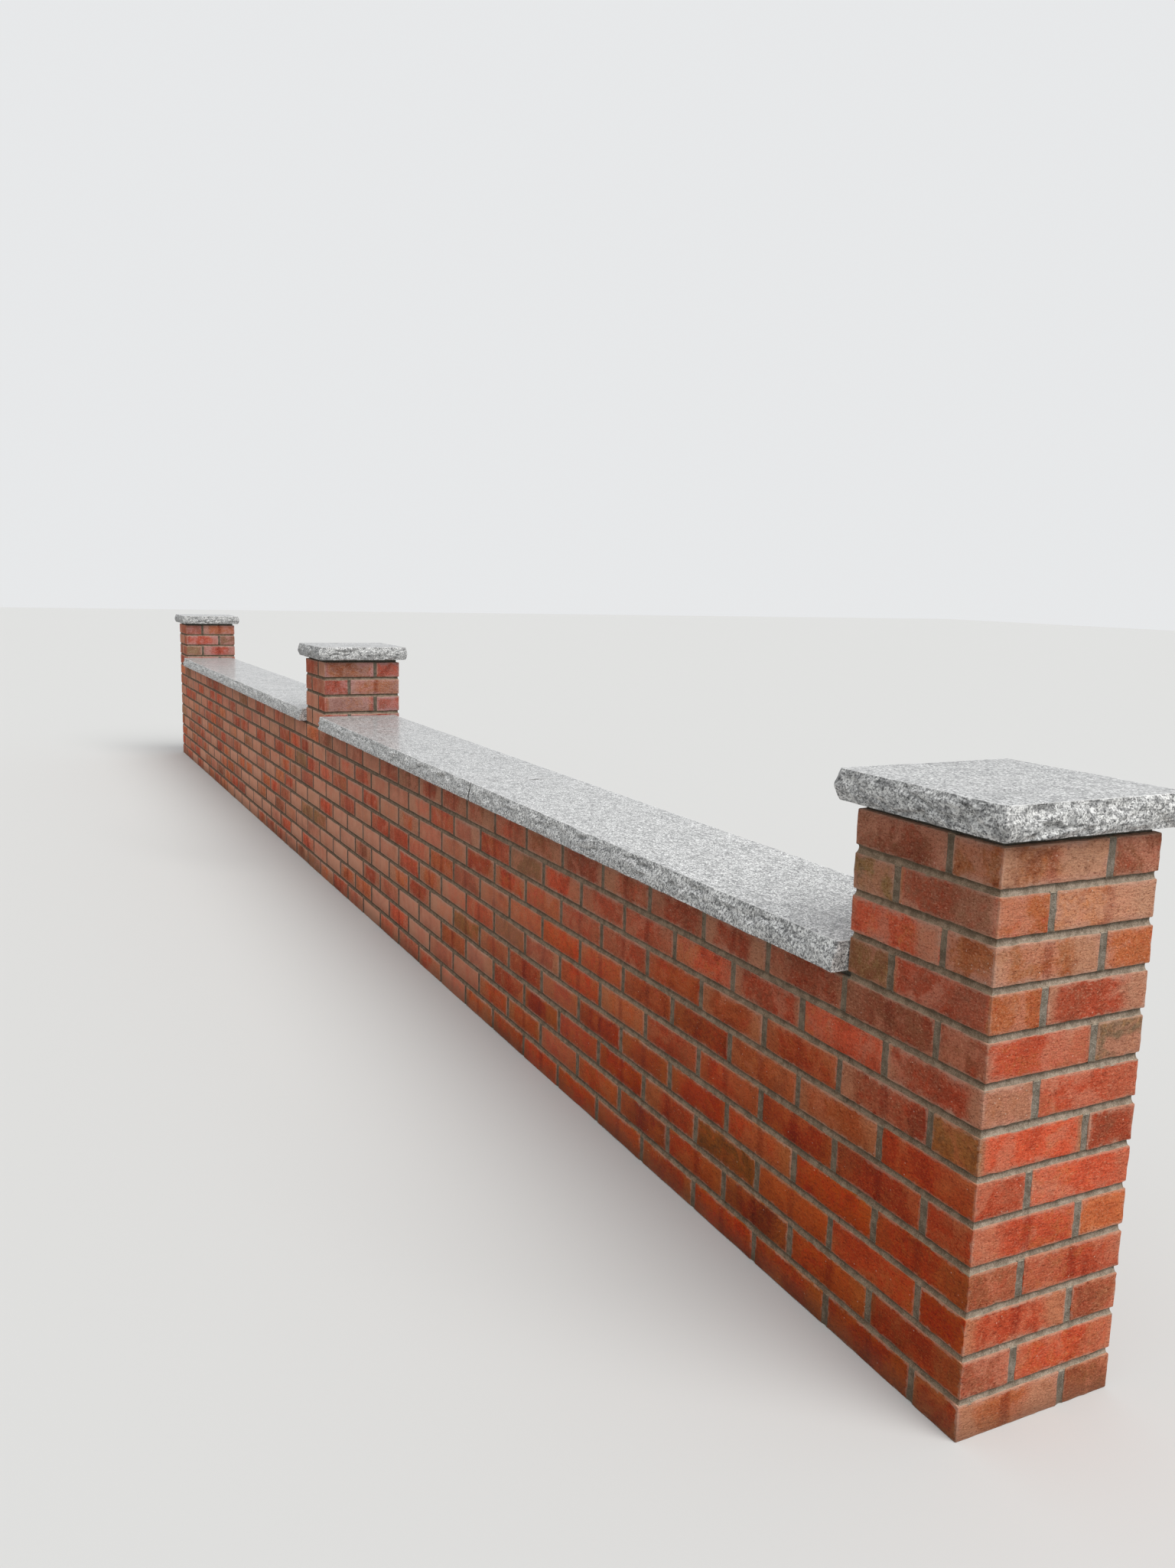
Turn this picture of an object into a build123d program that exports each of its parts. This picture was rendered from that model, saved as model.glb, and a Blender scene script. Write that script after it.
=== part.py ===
from build123d import *
import math
import os
import random

# A brick garden wall: square piers with rock-pitched granite caps, and lower bays of wall between
# them under a rock-pitched granite coping. All sizes are in millimetres.
# X runs along the wall with the near pier at +X, Y points to the garden side, Z is up.
# Z = 0 is level ground, where the lowest course stands.

# One brick and its mortar joint, in the common 8 by 3 3/4 by 2 1/4 inch size.
brick_length = 203.2
brick_width = 95.25
brick_height = 57.15
joint = 12.7

# Piers: four bricks laid pinwheel fashion around a grouted core in every course.
pier_names = ["near_pier", "middle_pier", "far_pier"]
pier_courses = 13

# Bays: two leaves of running bond with grout between them. The way from pier to pier is counted
# in stretcher modules, so the bond runs through the piers on the street face.
bay_names = ["near_bay", "far_bay"]
bay_module_count = 17
wall_courses = 9
grout_width = 76.2

# Caps on the piers, and the recessed mortar beds that carry them.
cap_thickness = 50.8
cap_overhang = 28.575
cap_bed_inset = 9.0

# Coping on the bays: two stones a bay, sawn at the ends, with a mortar joint between them.
coping_thickness = 50.8
coping_overhang = 31.75
coping_bed_inset = 8.0
coping_joint = 4.0
coping_joint_inset = 3.0
coping_end_gap = 3.0
first_stone_share = 0.49

# The rock pitching: how far the broken face falls back, and how close its facets are.
pitch_depth = 9.0
cap_facet = 26.0
coping_facet = 46.0
pitch_bands = 4

# Sizes that follow from the ones above.
module = brick_length + joint
course = brick_height + joint
pier_width = brick_length + joint + brick_width
pier_pitch = bay_module_count * module
wall_thickness = 2 * brick_width + grout_width
pier_brick_top = pier_courses * course - joint
pier_bed_top = pier_courses * course
wall_brick_top = wall_courses * course - joint
wall_bed_top = wall_courses * course
street_y = coping_overhang - (pier_width + cap_overhang + coping_overhang) / 2
near_x = (len(bay_names) * pier_pitch + pier_width) / 2


def block(x0, x1, y0, y1, z0, z1):
    """A plain box between two corners."""
    size = (x1 - x0, y1 - y0, z1 - z0)
    return Pos((x0 + x1) / 2, (y0 + y1) / 2, (z0 + z1) / 2) * Box(*size)


def set_back(rng, level, ledge):
    """How far one point of a pitched face lies behind the stone's full size.

    The arrises top and bottom are broken back, and the belly between them stands out in ledges.
    """
    if level == 0:
        return pitch_depth * rng.uniform(0.35, 1.0)
    if level == pitch_bands:
        return pitch_depth * rng.uniform(0.2, 0.75)
    return max(0.0, pitch_depth * (ledge + rng.uniform(-0.25, 0.35)))


def pitched_side(start, end, outward, facet, pitched, rng):
    """Columns of points along one side of a stone, without the side's last corner.

    Each column holds the place in plan and a set-back for every level, along that side's outward
    direction. A sawn side is one straight run with no set-back.
    """
    length = math.dist(start, end)
    count = max(2, round(length / facet)) if pitched else 1
    columns = []
    ledge = 0.2
    for i in range(count):
        share = i / count
        if pitched and 0 < i:
            share = share + rng.uniform(-0.28, 0.28) / count
        if i % 2 == 0:
            ledge = rng.choice([-0.1, 0.1, 0.45])
        place = (start[0] + (end[0] - start[0]) * share, start[1] + (end[1] - start[1]) * share)
        backs = []
        for level in range(pitch_bands + 1):
            backs.append(set_back(rng, level, ledge) if pitched else 0.0)
        columns.append((place, outward, backs))
    return columns


def pitched_stone(x0, x1, y0, y1, z0, z1, facet, ends_pitched, seed):
    """A slab with a sawn top and bed, its long sides rock-pitched, its ends pitched or sawn."""
    rng = random.Random(seed)
    corners = [(x0, y0), (x1, y0), (x1, y1), (x0, y1)]
    outwards = [(0, -1), (1, 0), (0, 1), (-1, 0)]
    sides = []
    for i in range(4):
        pitched = ends_pitched or i % 2 == 0
        sides.append(pitched_side(corners[i], corners[(i + 1) % 4], outwards[i], facet, pitched, rng))
    levels = []
    for level in range(pitch_bands + 1):
        z = z0 + (z1 - z0) * level / pitch_bands
        ring = []
        for i in range(4):
            for k, (place, outward, backs) in enumerate(sides[i]):
                dx = -outward[0] * backs[level]
                dy = -outward[1] * backs[level]
                if k == 0:
                    before = outwards[i - 1]
                    before_back = sides[i - 1][-1][2][level]
                    dx -= before[0] * before_back
                    dy -= before[1] * before_back
                ring.append(Vector(place[0] + dx, place[1] + dy, z))
        levels.append(ring)
    faces = [Face(Wire.make_polygon(levels[0])), Face(Wire.make_polygon(levels[-1]))]
    count = len(levels[0])
    for level in range(pitch_bands):
        low = levels[level]
        high = levels[level + 1]
        for i in range(count):
            j = (i + 1) % count
            if (i + level) % 2 == 0:
                triangles = [(low[i], low[j], high[j]), (low[i], high[j], high[i])]
            else:
                triangles = [(low[i], low[j], high[i]), (low[j], high[j], high[i])]
            for triangle in triangles:
                faces.append(Face(Wire.make_polygon(triangle)))
    stone = Solid(Shell(faces))
    if stone.volume < 0:
        stone = Solid(Shell([-face for face in faces]))
    return stone


def tooth_courses(faces_near_end):
    """Courses, from the ground up, whose street bricks run through one face of a pier."""
    first = 0 if faces_near_end else 1
    return list(range(first, wall_courses, 2))


def tooth(x0, x1, index):
    """The room one through-running brick takes inside a pier, with the bed joint above it."""
    low = index * course
    high = min(low + course, wall_brick_top)
    return block(x0, x1, street_y, street_y + brick_width, low, high)


parts = {}

# Piers with their caps.
for number, name in enumerate(pier_names):
    x1 = near_x - number * pier_pitch
    x0 = x1 - pier_width
    y0 = street_y
    y1 = street_y + pier_width
    brickwork = block(x0, x1, y0, y1, 0, pier_brick_top)
    ring = brick_width + joint
    core = block(x0 + ring, x1 - ring, y0 + ring, y1 - ring, 0, pier_brick_top)
    brickwork -= core
    if number > 0:
        for index in tooth_courses(True):
            brickwork -= tooth(x1 - brick_width, x1, index)
    if number < len(pier_names) - 1:
        for index in tooth_courses(False):
            brickwork -= tooth(x0, x0 + brick_width, index)
    parts[name + "_brickwork"] = brickwork
    parts[name + "_core"] = core
    inset = cap_bed_inset
    parts[name + "_cap_bed"] = block(x0 + inset, x1 - inset, y0 + inset, y1 - inset, pier_brick_top, pier_bed_top)
    over = cap_overhang
    cap_top = pier_bed_top + cap_thickness
    parts[name + "_cap"] = pitched_stone(
        x0 - over, x1 + over, y0 - over, y1 + over, pier_bed_top, cap_top, cap_facet, True, 11 + number)

# Bays of wall with their coping.
for number, name in enumerate(bay_names):
    x1 = near_x - pier_width - number * pier_pitch
    x0 = near_x - (number + 1) * pier_pitch
    y0 = street_y
    y1 = street_y + wall_thickness
    leaf = block(x0, x1, y0, y0 + brick_width, 0, wall_brick_top)
    for index in tooth_courses(True):
        leaf += tooth(x0 - brick_width, x0, index)
    for index in tooth_courses(False):
        leaf += tooth(x1, x1 + brick_width, index)
    parts[name + "_street_leaf"] = leaf
    parts[name + "_grout"] = block(x0, x1, y0 + brick_width, y1 - brick_width, 0, wall_brick_top)
    parts[name + "_garden_leaf"] = block(x0, x1, y1 - brick_width, y1, 0, wall_brick_top)
    inset = coping_bed_inset
    parts[name + "_coping_bed"] = block(x0, x1, y0 + inset, y1 - inset, wall_brick_top, wall_bed_top)
    over = coping_overhang
    coping_top = wall_bed_top + coping_thickness
    stones_x1 = x1 - coping_end_gap
    stones_x0 = x0 + coping_end_gap
    split = stones_x1 - (stones_x1 - stones_x0) * first_stone_share
    half = coping_joint / 2
    parts[name + "_coping_near_stone"] = pitched_stone(
        split + half, stones_x1, y0 - over, y1 + over, wall_bed_top, coping_top, coping_facet, False, 31 + number)
    parts[name + "_coping_far_stone"] = pitched_stone(
        stones_x0, split - half, y0 - over, y1 + over, wall_bed_top, coping_top, coping_facet, False, 41 + number)
    inset = pitch_depth + coping_joint_inset
    parts[name + "_coping_joint"] = block(
        split - half, split + half, y0 - over + inset, y1 + over - inset, wall_bed_top,
        coping_top - coping_joint_inset)

os.makedirs("parts", exist_ok=True)
for name, solid in parts.items():
    export_step(solid, f"parts/{name}.step")
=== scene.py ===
import bmesh
import bpy
import math
import random
from mathutils import Matrix, Vector


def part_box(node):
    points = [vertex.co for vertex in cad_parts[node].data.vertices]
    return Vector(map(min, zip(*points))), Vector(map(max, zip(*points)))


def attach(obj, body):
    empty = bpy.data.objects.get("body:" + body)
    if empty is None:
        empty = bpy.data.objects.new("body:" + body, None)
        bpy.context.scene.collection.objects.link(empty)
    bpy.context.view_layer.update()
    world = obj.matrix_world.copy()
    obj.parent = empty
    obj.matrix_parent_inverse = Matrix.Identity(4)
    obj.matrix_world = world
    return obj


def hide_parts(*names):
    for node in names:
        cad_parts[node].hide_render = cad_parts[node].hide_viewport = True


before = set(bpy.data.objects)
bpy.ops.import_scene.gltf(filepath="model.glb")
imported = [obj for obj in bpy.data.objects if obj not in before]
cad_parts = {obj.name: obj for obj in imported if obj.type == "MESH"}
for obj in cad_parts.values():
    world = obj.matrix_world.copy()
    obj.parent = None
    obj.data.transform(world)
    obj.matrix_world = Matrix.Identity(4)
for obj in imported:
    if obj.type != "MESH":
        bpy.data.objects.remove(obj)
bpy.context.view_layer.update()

# Loose bricks
# Extruded and wire-cut facing bricks of fired clay, 8 by 3 3/4 by 2 1/4 inches. One whole brick and
# one cut bat are shaped for the piers, and plainer ones for the leaves, where there are hundreds.
brick_length = 0.2032
brick_width = 0.09525
brick_height = 0.05715
joint = 0.0127
module = brick_length + joint
course = brick_height + joint
brick_arris = 0.0022
# The bricks bulge a little into the beds, so that the beds show narrower than the upright joints.
bed_bulge = 0.0007


def deselect_all():
    bpy.ops.object.select_all(action="DESELECT")


def select_only(piece):
    deselect_all()
    piece.select_set(True)
    bpy.context.view_layer.objects.active = piece


def start_block(name, low, high):
    """A block between two corners, alone in the selection, with its place in its mesh."""
    deselect_all()
    middle = [(a + b) / 2 for a, b in zip(low, high)]
    size = [b - a for a, b in zip(low, high)]
    bpy.ops.mesh.primitive_cube_add(size=1, location=middle, scale=size)
    bpy.ops.object.transform_apply(location=True, rotation=True, scale=True)
    block = bpy.context.object
    block.name = name
    block.data.name = name
    return block


def pick(piece, kind, wanted):
    """In edit mode, selects the vertices, edges or faces that pass a test of their own corners."""
    bpy.ops.mesh.select_mode(type=kind)
    bpy.ops.mesh.select_all(action="DESELECT")
    shape = bmesh.from_edit_mesh(piece.data)
    parts = {"VERT": shape.verts, "EDGE": shape.edges, "FACE": shape.faces}[kind]
    for part in parts:
        corners = [part.co] if kind == "VERT" else [corner.co for corner in part.verts]
        if wanted(corners):
            part.select_set(True)
    shape.select_flush_mode()
    bmesh.update_edit_mesh(piece.data)


def cut_across(piece, axis, places):
    """In edit mode, cuts the whole piece square to one axis at each place."""
    normal = [0, 0, 0]
    normal[axis] = 1
    for place in places:
        bpy.ops.mesh.select_all(action="SELECT")
        point = [0, 0, 0]
        point[axis] = place
        bpy.ops.mesh.bisect(plane_co=point, plane_no=normal)


def even_cuts(low, high, count):
    """Places that share a length evenly, without its ends."""
    return [low + (high - low) * i / count for i in range(1, count)]


def shape_brick(name, length, cells, turns=2):
    """A brick round the origin, its long side along X, with soft arrises and the cells asked for."""
    size = (length, brick_width, brick_height + 2 * bed_bulge)
    brick = start_block(name, [-a / 2 for a in size], [a / 2 for a in size])
    bpy.ops.object.mode_set(mode="EDIT")
    bpy.ops.mesh.select_all(action="SELECT")
    bpy.ops.mesh.bevel(offset=brick_arris, segments=turns, affect="EDGES")
    for axis in range(3):
        inner = size[axis] / 2 - brick_arris
        cut_across(brick, axis, even_cuts(-inner, inner, cells[axis]))
    bpy.ops.object.mode_set(mode="OBJECT")
    spot = brick.data.attributes.new("spot", "FLOAT_VECTOR", "POINT")
    half = brick.data.attributes.new("half", "FLOAT_VECTOR", "POINT")
    for corner in brick.data.vertices:
        spot.data[corner.index].vector = corner.co
        half.data[corner.index].vector = [a / 2 for a in size]
    brick.data.attributes.new("lot", "FLOAT_VECTOR", "POINT")
    return brick


near_brick = shape_brick("near_brick", brick_length, (18, 8, 6))
near_bat = shape_brick("near_bat", brick_width, (8, 8, 6))
pier_brick = shape_brick("pier_brick", brick_length, (10, 5, 4))
pier_bat = shape_brick("pier_bat", brick_width, (5, 5, 4))
wall_brick = shape_brick("wall_brick", brick_length, (5, 1, 2), 1)
wall_bat = shape_brick("wall_bat", brick_width, (2, 1, 2), 1)

hand = random.Random(7)


def lay_brick(pattern, middle, turned, tone, end_tone):
    """Lays a copy of a loose brick, with its own mesh, a hair out of true as a bricklayer leaves it.

    The tone runs from grey-brown at 0 through red to salmon at 1, and the ends may differ.
    """
    brick = pattern.copy()
    brick.data = pattern.data.copy()
    bpy.context.collection.objects.link(brick)
    out_of_true = [hand.uniform(-0.0006, 0.0006) for _ in range(3)]
    brick.location = [a + b for a, b in zip(middle, out_of_true)]
    lean = [hand.uniform(-0.003, 0.003) for _ in range(3)]
    quarter = math.pi / 2 if turned else 0
    brick.rotation_euler = (lean[0], lean[1], quarter + lean[2])
    band = hand.random()
    seed = hand.random()
    lot = brick.data.attributes["lot"].data
    reach = max(abs(corner.co.x) for corner in brick.data.vertices)
    for corner in brick.data.vertices:
        at_end = abs(corner.co.x) > reach - brick_arris * 1.5
        lot[corner.index].vector = (end_tone if at_end else tone, band, seed)
    return brick


def joined(name, pieces):
    """Makes one object of several, at the origin and with its place in its mesh."""
    deselect_all()
    for piece in pieces:
        piece.select_set(True)
    bpy.context.view_layer.objects.active = pieces[0]
    bpy.ops.object.join()
    bpy.ops.object.transform_apply(location=True, rotation=True, scale=True)
    whole = bpy.context.object
    whole.name = name
    whole.data.name = name
    return whole


def roughen(piece, kind, size, depth, level=0.5, group="", along="NORMAL", frame_of=None, **looks):
    """Presses a procedural texture of one size into a mesh and applies it."""
    select_only(piece)
    relief = bpy.data.textures.new("relief", kind)
    relief.noise_scale = size
    for look, value in looks.items():
        setattr(relief, look, value)
    press = piece.modifiers.new("press", "DISPLACE")
    press.texture = relief
    press.texture_coords = "OBJECT" if frame_of else "GLOBAL"
    if frame_of:
        press.texture_coords_object = frame_of
    press.strength = depth
    press.mid_level = level
    press.direction = along
    press.vertex_group = group
    bpy.ops.object.modifier_apply(modifier=press.name)
    bpy.data.textures.remove(relief)


def stand_on_ground(piece):
    """Lifts what a texture pushed under the ground back onto it."""
    for corner in piece.data.vertices:
        corner.co.z = max(corner.co.z, 0.0)


def new_finish(name):
    """A material with a principled shader, and that shader."""
    finish = bpy.data.materials.new(name)
    finish.use_nodes = True
    return finish, finish.node_tree.nodes["Principled BSDF"]


def add_node(finish, kind, sockets, **settings):
    """Adds a node. Each socket gets a value or is joined to another node's output."""
    node = finish.node_tree.nodes.new("ShaderNode" + kind)
    for name, value in settings.items():
        setattr(node, name, value)
    for socket, value in sockets.items():
        if isinstance(value, bpy.types.NodeSocket):
            finish.node_tree.links.new(value, node.inputs[socket])
        else:
            node.inputs[socket].default_value = value
    return node


def reckon(finish, operation, *values):
    """One sum of a finish, such as ADD or MINIMUM."""
    return add_node(finish, "Math", dict(enumerate(values)), operation=operation).outputs[0]


def reckon_places(finish, operation, *places):
    """One sum of a finish on places or directions."""
    return add_node(finish, "VectorMath", dict(enumerate(places)), operation=operation).outputs[0]


def times(finish, first, *others):
    """The product of some numbers."""
    for other in others:
        first = reckon(finish, "MULTIPLY", first, other)
    return first


def scaled(finish, value, factor, plus):
    return reckon(finish, "MULTIPLY_ADD", value, factor, plus)


def swing(finish, noise, reach, base=0.0):
    """A base that noise pulls up and down by half a reach."""
    return scaled(finish, reckon(finish, "SUBTRACT", noise, 0.5), reach, base)


def between(finish, value, low, high):
    """0 up to low, 1 from high on, and a soft step between; it falls where low is the larger."""
    sockets = {"Value": value, "From Min": low, "From Max": high}
    return add_node(finish, "MapRange", sockets, interpolation_type="SMOOTHSTEP").outputs[0]


def tint(finish, colour, other, *shares, way="MIX"):
    """Lays another colour over one, by the product of some shares."""
    sockets = {0: times(finish, *shares), 6: colour, 7: (*other, 1)}
    return add_node(finish, "Mix", sockets, data_type="RGBA", blend_type=way).outputs[2]


def stain(finish, colour, other, *shares):
    """Multiplies a colour by another, by the product of some shares."""
    return tint(finish, colour, other, *shares, way="MULTIPLY")


def shades(finish, value, stops):
    """A colour ramp from a list of places and colours."""
    node = add_node(finish, "ValToRGB", {"Fac": value})
    points = node.color_ramp.elements
    while len(points) < len(stops):
        points.new(0.5)
    for point, (place, colour) in zip(points, stops):
        point.position = place
        point.color = (*colour, 1)
    return node.outputs[0]


def grain(finish, place, scale, detail=2, roughness=0.5, distortion=0):
    """Fractal noise, as one number."""
    sockets = {"Vector": place, "Scale": scale, "Detail": detail}
    sockets.update({"Roughness": roughness, "Distortion": distortion})
    return add_node(finish, "TexNoise", sockets).outputs["Fac"]


def crystals_of(finish, place, scale, channel):
    """The outputs of a pattern of angular cells, and a number by chance for each cell."""
    cells = add_node(finish, "TexVoronoi", {"Vector": place, "Scale": scale, "Randomness": 1}).outputs
    return cells, add_node(finish, "SeparateColor", {0: cells["Color"]}).outputs[channel]


def specks(finish, place, scale, rim, heart, rarity):
    """Round specks in the rare cells, from nothing at the rim to full at the heart."""
    cells, chance = crystals_of(finish, place, scale, 0)
    rare = reckon(finish, "GREATER_THAN", chance, rarity)
    return times(finish, between(finish, cells["Distance"], rim, heart), rare)


def stored(finish, name, output="Vector"):
    """What a piece's own mesh says of the spot."""
    return add_node(finish, "Attribute", {}, attribute_name=name).outputs[output]


def parts_of(finish, vector):
    return add_node(finish, "SeparateXYZ", {0: vector}).outputs


def object_place(finish):
    return add_node(finish, "TexCoord", {}).outputs["Object"]


def stretched(finish, place, factors):
    return reckon_places(finish, "MULTIPLY", place, factors)


def dents(finish, height, depth, before=None):
    """A bump of a depth in metres, over the one before."""
    sockets = {"Height": height, "Strength": 1, "Distance": depth}
    if before:
        sockets["Normal"] = before
    return add_node(finish, "Bump", sockets).outputs[0]


def chance_from(finish, seed, step):
    """A further number by chance for each brick, from its seed."""
    return reckon(finish, "FRACT", times(finish, seed, step))


def finish_off(finish, shader, colour, roughness, bump):
    for socket, value in (("Base Color", colour), ("Roughness", roughness), ("Normal", bump)):
        finish.node_tree.links.new(value, shader.inputs[socket])


def make_clay():
    """Fired clay: each brick its own tone, flashed red between paler ends, with a kiln line across
    the middle, pale rims, a torn wire-cut face, specks of lime, and damp on the side to the street."""
    clay, shader = new_finish("fired_clay")
    spot = stored(clay, "spot")
    half = stored(clay, "half")
    own = parts_of(clay, stored(clay, "lot"))
    tone, band, seed = own[0], own[1], own[2]
    shift = add_node(clay, "CombineXYZ", {0: seed, 1: seed, 2: seed}).outputs[0]
    place = reckon_places(clay, "MULTIPLY_ADD", shift, (31, 47, 59), spot)
    facing = parts_of(clay, add_node(clay, "NewGeometry", {}).outputs["True Normal"])
    where = parts_of(clay, object_place(clay))
    along, level = where[0], where[2]

    # The brick's own tone, clouded and mottled, and slanting a little from end to end.
    across = parts_of(clay, reckon_places(clay, "DIVIDE", spot, half))[0]
    cloud = grain(clay, place, 24, 3, 0.6)
    mottle = grain(clay, place, 95, 3, 0.6)
    drift = swing(clay, mottle, 0.30, swing(clay, cloud, 0.34, tone))
    drift = scaled(clay, times(clay, across, swing(clay, band, 1.0)), 0.14, drift)
    colour = shades(clay, drift, [
        (0.02, (0.250, 0.160, 0.096)),
        (0.13, (0.430, 0.226, 0.090)),
        (0.27, (0.450, 0.170, 0.084)),
        (0.40, (0.520, 0.148, 0.078)),
        (0.51, (0.640, 0.116, 0.052)),
        (0.61, (0.780, 0.128, 0.058)),
        (0.71, (0.720, 0.185, 0.064)),
        (0.84, (0.700, 0.215, 0.080)),
        (0.90, (0.690, 0.260, 0.120)),
        (1.00, (0.660, 0.290, 0.175)),
    ])
    fired = scaled(clay, chance_from(clay, seed, 71.3), 0.44, 0.76)
    colour = add_node(clay, "VectorMath", {0: colour, "Scale": fired}, operation="SCALE").outputs[0]
    flash = grain(clay, place, 15, 3, 0.6, 0.6)
    smoked = scaled(clay, chance_from(clay, seed, 43.1), 0.60, 0.20)
    colour = stain(clay, colour, (0.70, 0.54, 0.50), between(clay, flash, 0.48, 0.36), smoked)
    colour = tint(clay, colour, (0.80, 0.31, 0.20), between(clay, flash, 0.50, 0.64), 0.55)

    # Paler ends, and the line where bricks touched in the kiln.
    on_side = reckon(clay, "LESS_THAN", reckon(clay, "ABSOLUTE", across), 0.985)
    wobbly = swing(clay, grain(clay, place, 30, 3), 0.5, across)
    middle = swing(clay, chance_from(clay, seed, 17.3), 0.7)
    away = reckon(clay, "ABSOLUTE", reckon(clay, "SUBTRACT", wobbly, middle))
    pale_end = between(clay, reckon(clay, "SUBTRACT", away, scaled(clay, band, 0.5, 0.45)), -0.16, 0.16)
    dust = chance_from(clay, seed, 53.9)
    colour = tint(clay, colour, (0.69, 0.345, 0.215), pale_end, on_side,
                  scaled(clay, dust, 0.75, 0.10), between(clay, tone, 0.05, 0.30))
    line = swing(clay, band, -0.16, across)
    line = between(clay, reckon(clay, "ABSOLUTE", swing(clay, mottle, 0.08, line)), 0.15, 0.03)
    lined = between(clay, chance_from(clay, seed, 91.7), 0.25, 0.6)
    colour = stain(clay, colour, (0.68, 0.48, 0.44), line, lined, 0.80)
    scorch = between(clay, grain(clay, place, 38, 4, 0.7), 0.60, 0.72)
    scorched = between(clay, chance_from(clay, seed, 29.1), 0.55, 0.9)
    colour = stain(clay, colour, (0.50, 0.42, 0.40), scorch, scorched, 0.65)

    # A ragged pale frame, by the distance from the face's edges, and dust with a painted highlight on what
    # looks up.
    off_middle = reckon_places(clay, "ABSOLUTE", spot)
    depth = parts_of(clay, reckon_places(clay, "SUBTRACT", half, off_middle))
    lower = reckon(clay, "MINIMUM", depth[0], depth[1])
    upper = reckon(clay, "MAXIMUM", depth[0], depth[1])
    from_edge = reckon(clay, "MAXIMUM", lower, reckon(clay, "MINIMUM", upper, depth[2]))
    ragged = swing(clay, mottle, 0.014, from_edge)
    colour = tint(clay, colour, (0.70, 0.34, 0.245), between(clay, ragged, 0.014, 0.002),
                  between(clay, flash, 0.40, 0.58), scaled(clay, dust, 0.65, 0.05))
    # Painted highlight with dust: the arrises and tops that look up are paler.
    colour = tint(clay, colour, (0.62, 0.42, 0.32), between(clay, facing[2], 0.25, 0.70),
                  scaled(clay, mottle, 0.9, 0.15))

    # The wire tears the face into pits and crumbs, and drags streaks along it.
    torn = grain(clay, stretched(clay, place, (230, 230, 340)), 1, 4, 0.72, 0.3)
    fine = grain(clay, place, 620, 2, 0.6)
    drag = grain(clay, stretched(clay, place, (70, 70, 250)), 1, 4, 0.65, 0.5)
    colour = stain(clay, colour, (0.44, 0.30, 0.26), between(clay, torn, 0.47, 0.34), 0.78)
    colour = tint(clay, colour, (0.88, 0.47, 0.31), between(clay, torn, 0.53, 0.66), 0.44)
    colour = stain(clay, colour, (0.60, 0.55, 0.50), between(clay, fine, 0.62, 0.50), 0.35)
    colour = stain(clay, colour, (0.62, 0.52, 0.48), between(clay, drag, 0.50, 0.38), 0.45)

    # Damp rises from the ground on the street side, most by the near pier; further on lies dust with a
    # painted sheen.
    street = between(clay, facing[1], -0.3, -0.8)
    colour = stain(clay, colour, (1.00, 1.08, 1.10), between(clay, level, 0.50, 0.80))
    nearness = between(clay, along, 0.9, 3.1)
    thirst = scaled(clay, chance_from(clay, seed, 37.7), 0.90, 0.45)
    low_down = reckon(clay, "ADD", between(clay, level, 0.70, 0.22), 0.04)
    damp = times(clay, scaled(clay, street, 0.70, 0.30), low_down,
                 scaled(clay, nearness, 0.80, 0.20), thirst)
    damp = reckon(clay, "MINIMUM", damp, 1.0)
    colour = stain(clay, colour, (0.96, 0.52, 0.18), damp)
    colour = stain(clay, colour, (0.80, 0.70, 0.39), street, between(clay, level, 0.55, 0.10), nearness)
    # Dust with a painted sheen: paler and duller further along the street face, more low down.
    dust_and_sheen_lot = between(clay, chance_from(clay, seed, 61.7), 0.30, 0.85)
    low_dust_and_sheen = scaled(clay, between(clay, level, 0.60, 0.15), 0.35, 0.55)
    colour = tint(clay, colour, (0.71, 0.335, 0.215), street, between(clay, along, 3.2, 0.3), dust_and_sheen_lot,
                  scaled(clay, cloud, 1.2, 0.5), low_dust_and_sheen)
    colour = tint(clay, colour, (0.62, 0.36, 0.27), street, between(clay, ragged, 0.010, 0.001),
                  scaled(clay, dust, 0.30, 0.16), between(clay, along, 3.62, 2.60),
                  between(clay, cloud, 0.30, 0.55))
    # Painted shade with dust: the near ends of the farther piers are duller and pinker.
    near_side = between(clay, facing[0], 0.3, 0.8)
    colour = stain(clay, colour, (0.73, 0.84, 1.16), between(clay, along, 3.0, 0.5), near_side)

    # Worn rims, specks of lime, and soil at the foot.
    colour = tint(clay, colour, (0.60, 0.36, 0.26), between(clay, ragged, 0.0046, 0.0016),
                  between(clay, cloud, 0.36, 0.56), scaled(clay, dust, 0.40, 0.28))
    colour = tint(clay, colour, (0.84, 0.66, 0.54), specks(clay, place, 115, 0.17, 0.06, 0.91), 0.6)
    soil = between(clay, scaled(clay, cloud, -0.05, level), 0.03, -0.03)
    colour = tint(clay, colour, (0.17, 0.10, 0.06), soil, 0.5)

    bump = dents(clay, drag, 0.0030)
    bump = dents(clay, torn, 0.0032, bump)
    bump = dents(clay, fine, 0.0008, bump)
    finish_off(clay, shader, colour, scaled(clay, damp, -0.18, scaled(clay, torn, 0.20, 0.68)), bump)
    shader.inputs["Specular IOR Level"].default_value = 0.11
    return clay


fired_clay = make_clay()


def finish_with(piece, material):
    piece.data.materials.clear()
    piece.data.materials.append(material)


def smooth_to(piece, degrees):
    select_only(piece)
    bpy.ops.object.shade_smooth_by_angle(angle=math.radians(degrees))


# Pier brickwork
# Thirteen courses of four bricks laid pinwheel fashion round the grouted core, so each face shows
# one stretcher and one header. Where a bay joins, its bricks tooth in and a bat fills behind them.
pier_names = ["near_pier", "middle_pier", "far_pier"]
pier_courses = 13
wall_courses = 9
pier_width = brick_length + joint + brick_width
tones = {"grey": 0.03, "ochre": 0.16, "brown": 0.31, "dull": 0.40, "red": 0.51, "bright": 0.60,
         "orange": 0.79, "tan": 0.89, "salmon": 0.97}
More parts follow.
